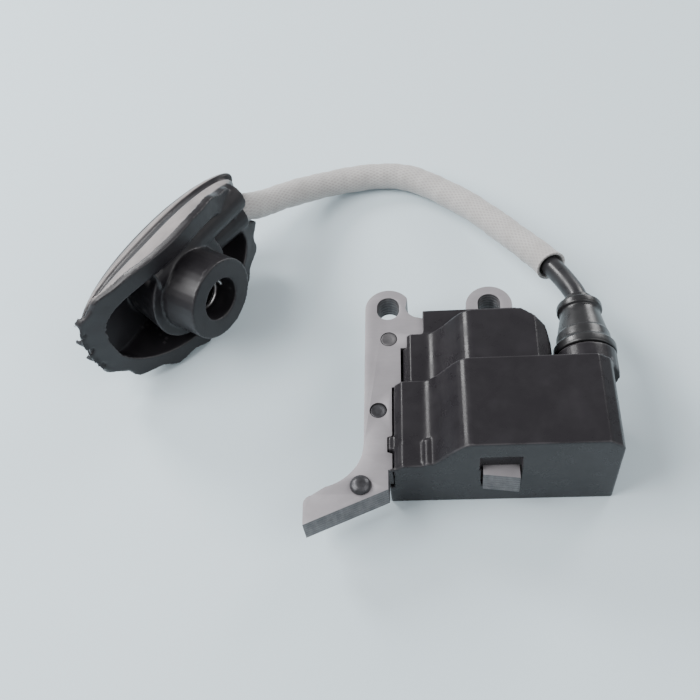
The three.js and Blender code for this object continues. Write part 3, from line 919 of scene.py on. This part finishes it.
# ---------------------------------------------------------------- lead
@dataclass
class HighTensionLead:
    """Black ignition lead with a loose glass-fibre sleeve over most of it.

    The route runs from the tower to the cap's edge in layout millimetres, and the entry goes on
    inside the cap, in the cap's own axes.
    """

    cap: CapFrame
    radius: float = 2.5
    boot_end: float = 46.6
    route: list[Point] = field(
        default_factory=lambda: [
            (50.6, 31.2, 17.5),
            (50.6, 39.0, 17.5),
            (50.6, 46.8, 17.5),
            (48.7, 52.6, 16.6),
            (45.6, 59.4, 14.9),
            (41.4, 66.9, 12.5),
            (36.5, 75.0, 9.8),
            (32.4, 81.1, 8.0),
            (27.3, 87.9, 6.2),
            (22.0, 93.5, 4.9),
            (16.6, 98.2, 4.2),
            (10.1, 101.8, 3.9),
            (3.1, 102.9, 3.8),
            (-3.4, 102.3, 4.0),
            (-9.6, 100.4, 4.9),
            (-16.8, 96.2, 7.3),
            (-23.6, 90.4, 10.8),
            (-28.6, 85.2, 14.0),
        ]
    )
    entry: list[Point] = field(
        default_factory=lambda: [
            (27.0, 0.2, -14.6),
            (20.0, 0.6, -17.6),
            (12.5, 0.8, -19.0),
            (6.0, 0.8, -19.2),
        ]
    )
    sleeve_outer: float = 3.55
    sleeve_inner: float = 2.95
    sleeve_widest: float = 3.72
    sleeve_start: float = 29.0
    sleeve_short: float = 19.6
    flare: float = 0.32
    flare_length: float = 1.6

    def centreline(self, count: int = 420) -> np.ndarray:
        """Points spaced evenly along a smooth curve through the route.

        Each stretch is a cubic whose end slopes follow its neighbours, weighted by the square
        roots of the distances between points, and the whole is resampled by length.

        Args:
            count: how many points.

        Returns:
            The points, in layout millimetres.
        """
        knots = np.vstack([np.array(self.route), self.cap.at(np.array(self.entry))])
        padded = np.vstack([2 * knots[0] - knots[1], knots, 2 * knots[-1] - knots[-2]])
        gaps = np.sqrt(np.linalg.norm(np.diff(padded, axis=0), axis=1))[:, None]
        before, start, end, after = padded[:-3], padded[1:-2], padded[2:-1], padded[3:]
        g0, g1, g2 = gaps[:-2], gaps[1:-1], gaps[2:]
        leave = ((start - before) / g0 - (end - before) / (g0 + g1) + (end - start) / g1) * g1
        arrive = ((end - start) / g1 - (after - start) / (g1 + g2) + (after - end) / g2) * g1
        t = np.linspace(0.0, 1.0, 40, endpoint=False)[None, :, None]
        cubic = (
            start[:, None]
            + leave[:, None] * t
            + (-3 * start + 3 * end - 2 * leave - arrive)[:, None] * t**2
            + (2 * start - 2 * end + leave + arrive)[:, None] * t**3
        )
        dense = np.vstack([cubic.reshape(-1, 3), knots[-1:]])
        way = np.concatenate([[0.0], np.cumsum(np.linalg.norm(np.diff(dense, axis=0), axis=1))])
        even = np.linspace(0.0, way[-1], count)
        return np.stack([np.interp(even, way, dense[:, i]) for i in range(3)], -1)

    def tube(self, name: str, line: np.ndarray, radius: np.ndarray, ends: Ends) -> bpy.types.Object:
        """Carries rings along a line that is never upright.

        A ring's point is line + radius (cos t side + sin t rise), where side is level and square
        to the line, and rise is square to both.

        Args:
            name: name of the object.
            line: centre of each ring.
            radius: radius for each ring and side, of shape (rings, sides).
            ends: how the ends are closed.

        Returns:
            The tube.
        """
        side, rise = self.sides(line)
        return self.rings(name, line, side, rise, radius, ends)

    def sides(self, line: np.ndarray) -> tuple[np.ndarray, np.ndarray]:
        """Works out the level direction square to a line, and the one square to both.

        Args:
            line: points along a line that is never upright.

        Returns:
            A level unit vector and a rising unit vector for each point.
        """
        ahead = unit(np.gradient(line, axis=0))
        side = unit(np.cross(ahead, np.array([0.0, 0.0, 1.0])))
        return side, np.cross(side, ahead)

    def rings(
        self,
        name: str,
        line: np.ndarray,
        side: np.ndarray,
        rise: np.ndarray,
        radius: np.ndarray,
        ends: Ends,
    ) -> bpy.types.Object:
        """Puts a ring at each centre: centre + radius (cos t side + sin t rise).

        Args:
            name: name of the object.
            line: centre of each ring.
            side: direction of each ring's first point.
            rise: direction of the point a quarter of the way round.
            radius: radius for each ring and side, of shape (rings, sides).
            ends: how the ends are closed.

        Returns:
            The object.
        """
        angle = np.linspace(0.0, 2.0 * math.pi, radius.shape[1], endpoint=False)[None, :, None]
        across = np.cos(angle) * side[:, None] + np.sin(angle) * rise[:, None]
        return grid_object(name, placed(line[:, None] + radius[..., None] * across), ends)

    def lead(self) -> bpy.types.Object:
        """Makes the black lead: its radius varies slowly by a sine of the way and the angle.

        Returns:
            The lead.
        """
        line = self.centreline()
        angle = np.linspace(0.0, 2.0 * math.pi, 40, endpoint=False)[None, :]
        way = np.linspace(0.0, 1.0, len(line))[:, None]
        radius = self.radius + 0.02 * np.sin(37.0 * way + 2.0 * angle)
        return self.tube("ht_lead", line, radius, Ends.POLES)

    def sleeve(self) -> bpy.types.Object:
        """Makes the sleeve: out along its outside, over the edge and back along its inside.

        The outside's radius swells in soft wrinkles, the sum of four sines of the way along and
        the angle, up to a widest, and the end next to the boot flares by an exponential.

        Returns:
            The sleeve.
        """
        line = self.centreline(900)
        steps = np.linalg.norm(np.diff(line, axis=0), axis=1)
        way = np.concatenate([[0.0], np.cumsum(steps)])
        kept = (way >= self.sleeve_start) & (way <= way[-1] - self.sleeve_short)
        line, way = line[kept], way[kept]
        side, rise = self.sides(line)
        angle = np.linspace(0.0, 2.0 * math.pi, 56, endpoint=False)[None, :]
        s = way[:, None]
        wrinkle = (
            0.05 * np.sin(0.9 * s + 1.5 * np.cos(angle))
            + 0.05 * np.sin(0.37 * s + 2.0 * angle)
            + 0.035 * np.sin(1.9 * s + np.sin(3.0 * angle + 0.2 * s))
            + 0.04 * np.cos(0.21 * s - angle)
        )
        uneven = 1.0 + 0.35 * np.cos(2.0 * angle + 0.6)
        opened = self.flare * np.exp(-(s - s[0]) / self.flare_length) * uneven
        swollen = self.sleeve_outer + wrinkle * smoothstep(s, s[0], s[0] + 4.0)
        outside = np.minimum(swollen, self.sleeve_widest) + opened
        inside = np.full_like(outside, self.sleeve_inner) + opened * 0.95
        radius = np.vstack([outside, inside[::-1]])
        both = [np.vstack([part, part[::-1]]) for part in (line, side, rise)]
        return self.rings("lead_sleeve_braid", both[0], both[1], both[2], radius, Ends.LOOP)

    def build(self, riders: list[bpy.types.Object]) -> None:
        """Args:
            riders: the pieces at the lead's far end; not used.
        """
        lead = settle(self.lead(), JACKET, "lead_jacket", "ht_lead_insulation")
        sleeve = settle(self.sleeve(), SLEEVE, "sleeve_braid", "lead_sleeve")
        line = placed(self.centreline())


# ---------------------------------------------------------------- plug cap
@dataclass
class PlugCap:
    """Rubber plug cap with a scalloped rim, a bored boss, ribs and a contact spring.

    Each band gives the shares of the way from back to rim where it fades in and fades out.
    """

    cap: CapFrame
    voxel: float = 0.32
    passes: int = 5
    back_depth: float = 24.5
    back_bow: float = 0.0058
    wide_band: tuple[Span, Span] = ((0.36, 0.42), (0.78, 0.84))
    thin_band: tuple[Span, Span] = ((0.06, 0.1), (0.17, 0.21))
    spring_radius: float = 3.9
    spring_wire: float = 0.5
    spring_turns: float = 3.5
    spring_top: float = -3.2
    spring_drop: float = 8.6

    def rim_depth(self, u: np.ndarray) -> np.ndarray:
        """Depth of the rim at u: -8 less a square law either side of u = 2, steeper below it."""
        return -8.0 - np.where(u < 2.0, 0.0145, 0.008) * (u - 2.0) ** 2

    def hood(self) -> bpy.types.Object:
        """Makes the cap's skin and marks two paler bands on its upper, upward-facing side: painted sheen
        with rubbed streaks.

        A band covers a share of the way from the back to the rim, and fades at its own edges,
        towards the side walls and towards the end away from the lead.

        Returns:
            The skin.
        """
        skin = moulded("cap_hood", "plug_cap", self.voxel, self.passes)
        u, w, a = self.cap.inside(points_of(skin)).T
        back = -self.back_depth + self.back_bow * u * u
        share = (a - back) / (self.rim_depth(u) - back)
        outward = normals_of(skin) @ self.cap.axes()[1]
        wide = between(share, *self.wide_band)
        thin = between(share, *self.thin_band)
        # only the upper wall, where it faces up, gets the bands: painted sheen
        upper = smoothstep(w, 8.0, 10.0) * smoothstep(outward, 0.35, 0.6)
        ended = smoothstep(u, -23.0, -19.5)
        mark(skin, "worn_and_sheen", np.maximum(wide, thin) * upper * ended)
        return skin

    def spring(self) -> bpy.types.Object:
        """Makes the contact spring: a wire along (r cos t, r sin t, falling steadily).

        Returns:
            The spring.
        """
        points, sides = 180, 12
        t = np.linspace(0.0, 1.0, points)
        angle = 2.0 * math.pi * self.spring_turns * t
        centre = np.stack([np.cos(angle), np.sin(angle), 0.0 * t], -1)
        depth = (self.spring_top - self.spring_drop * t)[:, None]
        line = self.cap.at(centre * self.spring_radius + np.array([0.0, 0.0, 1.0]) * depth)
        side = centre @ self.cap.axes()
        rise = np.cross(side, unit(np.gradient(line, axis=0)))
        radius = np.full((points, sides), self.spring_wire)
        return HighTensionLead(self.cap).rings("cap_spring", line, side, rise, radius, Ends.POLES)

    def build(self) -> list[bpy.types.Object]:
        """Makes the cap's pieces and dresses the contact pin.

        Returns:
            The hood, the spring and the pin.
        """
        hood = settle(self.hood(), CAP, "cap_rubber", "plug_cap")
        spring = settle(self.spring(), SPRING, "spring_steel", "cap_terminal_spring")
        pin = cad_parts["cap_contact_pin"]
        dress(pin, BRASS)
        return [hood, spring, pin]


# ---------------------------------------------------------------- core
@dataclass
class Core:
    """Riveted stack of stamped laminations with two slotted ears and a pole shoe.

    A sheet's thickness and the gap to the next one repeat up the stack from its back, and under
    is how far a sheet's skin reaches down into that gap, so that the stack looks closed.
    """

    back: float = 7.8
    sheets: int = 7
    sheet: float = 0.742
    gap: float = 0.3
    edge: float = 0.05
    under: float = 0.26
    ears: Span = (5.6, 29.95)
    ear_y: float = 48.15
    ear_radius: float = 5.55
    slot_radius: float = 2.7
    slot_half: float = 0.55
    rivets: dict[str, Span] = field(
        default_factory=lambda: {"upper": (5.75, 39.2), "lower": (3.3, 19.75), "domed": (-0.55, 1.05)}
    )
    rivet_radius: float = 1.92
    hole_radius: float = 2.0

    @property
    def top(self) -> float:
        """Height of the stack's front face."""
        return self.back + self.sheets * self.sheet + (self.sheets - 1) * self.gap

    def outline(self) -> np.ndarray:
        """Works out a lamination's edge, anticlockwise from the pole shoe's lower corner.

        Returns:
            The points of the edge, with its round stretches as arcs.
        """
        left, right = self.ears
        round_ear = (self.ear_radius, self.ear_radius)
        corner = arc((13.9, 49.3), (4.3, 4.3), (246, 196), 14)
        return np.vstack(
            [
                [(-12.9, -7.9), (5.5, 0.0), (5.5, 4.6), (6.4, 4.6), (6.4, 8.6), (5.3, 9.0)],
                [(5.3, 12.7), (6.4, 13.1), (6.4, 25.7), (8.5, 25.9), (8.5, 36.5), (26.05, 36.5)],
                [(26.05, 2.95), (33.95, 1.95), (33.95, 36.5), (35.5, 37.9)],
                arc((right, self.ear_y), round_ear, (0, 180), 56),
                [(right - self.ear_radius, 45.0), (13.6, 45.0)],
                corner[1:],
                arc((left, self.ear_y), round_ear, (33, 180), 48),
                [(0.05, 11.5)],
                arc((-11.2, 11.2), (11.2, 10.6), (0, -75), 32)[1:],
                [(-11.3, -1.0)],
                arc((-11.0, -3.1), (2.0, 2.1), (100, 180), 14),
            ]
        )

    def slot(self, x: float) -> np.ndarray:
        """Works out a mounting slot's edge: two half circles joined by straight sides.

        Args:
            x: the slot's middle across the ears.

        Returns:
            The points of the edge.
        """
        size = (self.slot_radius, self.slot_radius)
        upper = arc((x, self.ear_y + self.slot_half), size, (0, 180), 32)
        lower = arc((x, self.ear_y - self.slot_half), size, (180, 360), 32)
        return np.vstack([upper, lower])

    def stack(self) -> None:
        """Makes each lamination, thick enough to close on the one under it."""
        holes = [self.slot(x) for x in self.ears]
        round_hole = (self.hole_radius, self.hole_radius)
        holes += [arc(spot, round_hole, (0, 352), 45) for spot in self.rivets.values()]
        for i in range(self.sheets):
            low = self.back + i * (self.sheet + self.gap)
            foot = low - (self.under if i else 0.0)
            name, loops = f"lamination_{i + 1}", [self.outline(), *holes]
            made = plate(name, loops, foot, low + self.sheet, self.edge)
            settle(made, STEEL, "lamination_steel", f"core_lamination_{i + 1}")

    def shank(self, name: str, spot: str, lift: float) -> bpy.types.Object:
        """Makes a rivet whose struck end has a soft edge and a shallow dish.

        Args:
            name: name of the piece.
            spot: which rivet it is.
            lift: how far it stands above the stack.

        Returns:
            The rivet.
        """
        x, y = self.rivets[spot]
        foot, head, r = self.back - 0.6, self.top + lift, self.rivet_radius
        profile = [(0, foot), (r - 0.1, foot), (r, foot + 0.1), (r, head - 0.22), (r - 0.22, head)]
        profile += [(r - 0.55, head - 0.02), (0.8, head - 0.14), (0, head - 0.16)]
        return turned(name, rounded(profile, 0.12), np.array([x, y, 0.0]), np.eye(3))

    def domed(self) -> bpy.types.Object:
        """Makes the rivet that holds the pole shoe, with a domed head and a flat foot.

        Returns:
            The rivet.
        """
        x, y = self.rivets["domed"]
        t, b = self.top, self.back
        profile = [(0, b - 1.1), (2.2, b - 1.1), (2.3, b - 0.9), (2.3, b - 0.05), (1.9, b), (1.9, t + 0.03)]
        profile += [(2.35, t + 0.05), (2.32, t + 0.5), (1.95, t + 0.95), (1.15, t + 1.38), (0, t + 1.5)]
        return turned("rivet_domed", rounded(profile, 0.35), np.array([x, y, 0.0]), np.eye(3))

    def build(self) -> None:
        """Makes the laminations and the rivets."""
        self.stack()
        settle(self.shank("rivet_upper", "upper", 0.0), PALE_RIVET, "rivet_steel", "core_rivet_upper")
        settle(self.shank("rivet_lower", "lower", -0.25), DARK_RIVET, "rivet_steel", "core_rivet_lower")
        settle(self.domed(), DARK_RIVET, "rivet_steel", "core_rivet_domed")


# ---------------------------------------------------------------- housing
@dataclass
class Housing:
    """Moulded shell over the wound leg, its resin back and the rubber boot of its lead tower.

    The panel is sunk into the shell's low side, and its fields give where each side fades in
    and out.
    """

    voxel: float = 0.3
    passes: int = 4
    tower: Span = (50.6, 17.5)
    boot_low: float = 30.5
    panel_x: tuple[Span, Span] = ((7.6, 8.2), (12.6, 13.2))
    panel_y: tuple[Span, Span] = ((4.6, 5.2), (9.6, 10.2))
    panel_front: Span = (15.9, 16.3)
    panel_depth: float = 0.2

    def shell(self) -> bpy.types.Object:
        """Makes the shell, with a shallow panel sunk into its low side beside the rib.

        A point on the front inside the panel moves back by its depth, times a smooth step of its
        distance from each of the panel's sides.

        Returns:
            The shell.
        """
        skin = moulded("housing_shell", "coil_housing", self.voxel, self.passes)
        points = points_of(skin)
        x, y, z = points.T
        panel = between(x, *self.panel_x)
        panel *= between(y, *self.panel_y) * smoothstep(z, *self.panel_front)
        points[:, 2] -= self.panel_depth * panel * smoothstep(normals_of(skin)[:, 2], 0.5, 0.9)
        set_points(skin, points)
        return skin

    def boot(self) -> bpy.types.Object:
        """Turns the boot: a flange, a long taper, a ring and a thin lip, hollow right through.

        Returns:
            The boot.
        """
        b = self.boot_low
        outside = [(5.0, b), (6.95, b), (7.1, b + 0.5), (7.1, b + 2.0), (6.45, b + 2.4), (6.3, b + 2.9)]
        outside += [(6.1, b + 5.2), (5.85, b + 5.5), (5.5, b + 7.2), (4.7, 41.5), (4.6, 42.3), (5.25, 42.7)]
        outside += [(5.25, 44.3), (4.5, 44.8), (3.55, 45.0), (3.35, 46.6), (2.62, 46.6)]
        inside = [(2.62, 37.6), (4.7, 36.0), (4.7, b + 0.3), (5.0, b)]
        profile = rounded(outside + inside, 0.32)[:-1]
        axes = np.array([[1.0, 0.0, 0.0], [0.0, 0.0, -1.0], [0.0, 1.0, 0.0]])
        return turned("boot_sleeve", profile, np.array([self.tower[0], 0.0, self.tower[1]]), axes, 88)

    def build(self) -> None:
        """Makes the shell and the boot, and dresses the resin."""
        settle(self.shell(), SHELL, "housing_plastic", "coil_housing")
        settle(self.boot(), BOOT, "boot_rubber", "lead_boot")
        dress(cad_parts["epoxy_potting"], RESIN)


# ---------------------------------------------------------------- sealed pieces
@dataclass
class SealedPieces:
    """The coils and electronics that the housing holds: their CAD shapes, each with its finish."""

    finishes: dict[str, Finish] = field(
        default_factory=lambda: {
            "primary_bobbin": NYLON,
            "primary_winding": WIRE,
            "secondary_bobbin": NYLON,
            "secondary_winding": WIRE,
            "trigger_board": BOARD,
            "switch_transistor": COMPONENT,
            "flyback_diode": COMPONENT,
            "bias_resistor": CERAMIC,
            "charge_capacitor": FILM,
            "earth_spring": BRASS,
            "ht_terminal_spike": BRASS,
            "ht_lead_conductor": STRAND,
        }
    )

    def build(self) -> None:
        """Dresses each piece."""
        for node, finish in self.finishes.items():
            dress(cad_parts[node], finish)
            LOG.info("%s: dressed as %s", node, finish.name)


def main() -> None:
    """Builds the studio and then each sub-assembly in order."""
    Studio().build()
    axes = CapFrame()
    riders = PlugCap(axes).build()
    HighTensionLead(axes).build(riders)
    Core().build()
    Housing().build()
    SealedPieces().build()


if __name__ == "__main__":
    main()
